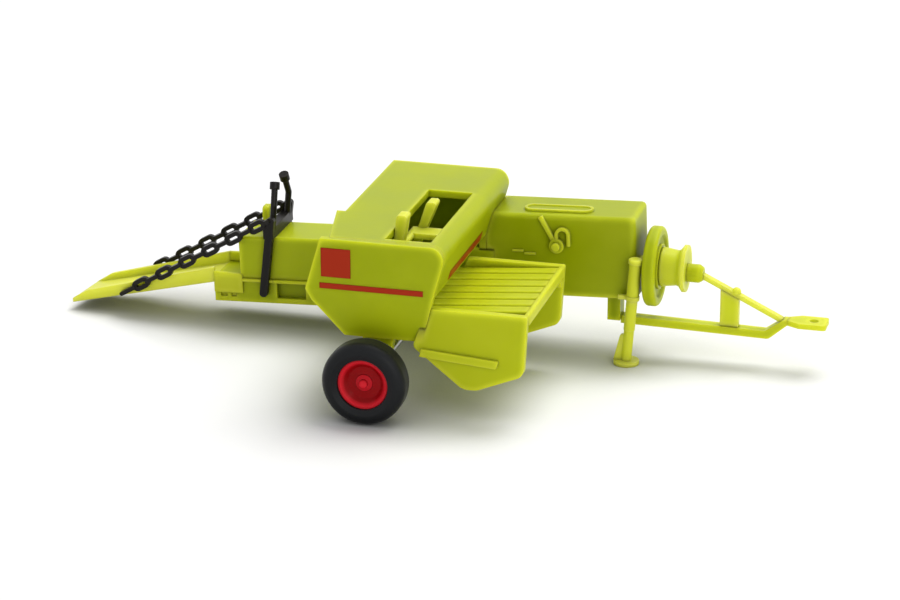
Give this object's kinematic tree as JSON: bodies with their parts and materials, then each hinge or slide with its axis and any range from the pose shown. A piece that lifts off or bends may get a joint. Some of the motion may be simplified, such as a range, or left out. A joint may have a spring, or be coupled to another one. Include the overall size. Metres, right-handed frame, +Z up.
{
  "type": "scale model of a square baler",
  "caption": "Small plastic scale model of a towed square baler with side pickup, bale chute, moulded chains, jack and two free-turning wheels.",
  "frame": {"origin": "on the ground, in the middle of the model's length and width", "axes": "+X forward along the drawbar, +Y to the machine's left, +Z up"},
  "size_m": [0.0764, 0.0318, 0.0182],
  "materials": {
    "green_plastic": "self-coloured lime green moulded plastic, satin gloss",
    "black_plastic": "black moulded plastic, satin",
    "red_plastic": "bright red moulded plastic, gloss",
    "tyre_plastic": "smooth black soft plastic tyre, satin",
    "axle_steel": "plain steel wire"
  },
  "bodies": {
    "root": {"bale_chamber": "green_plastic", "base_frame": "green_plastic", "bale_chute": "green_plastic", "front_housing": "green_plastic", "feeder_hood": "green_plastic", "side_panel": "green_plastic", "feeder_trough": "green_plastic", "feeder_forks": "green_plastic", "pickup_plate_right": "green_plastic", "pickup_plate_left": "green_plastic", "pickup_deck": "green_plastic", "pickup_front_bar": "green_plastic", "axle_arm": "green_plastic", "flywheel": "green_plastic", "drive_shaft": "green_plastic", "drive_hub": "green_plastic", "input_bearing": "green_plastic", "drawbar_beam": "green_plastic", "drawbar_tongue": "green_plastic", "drawbar_strut": "green_plastic", "drawbar_web": "green_plastic", "front_bracket": "green_plastic", "jack_tube": "green_plastic", "jack_leg": "green_plastic", "jack_foot": "green_plastic", "tension_yoke": "black_plastic", "chain_right": "black_plastic", "chain_left": "black_plastic", "axle": "axle_steel"},
    "wheel_right": {"tyre_right": "tyre_plastic", "rim_right": "red_plastic"},
    "wheel_left": {"tyre_left": "tyre_plastic", "rim_left": "red_plastic"}
  },
  "joints": [
    {"name": "wheel_right_spin", "type": "hinge", "parent": "root", "child": "wheel_right", "pos_m": [-0.00094, -0.01445, 0.004], "axis": [0, 1, 0], "continuous": true},
    {"name": "wheel_left_spin", "type": "hinge", "parent": "root", "child": "wheel_left", "pos_m": [-0.00094, 0.01445, 0.004], "axis": [0, 1, 0], "continuous": true}
  ]
}
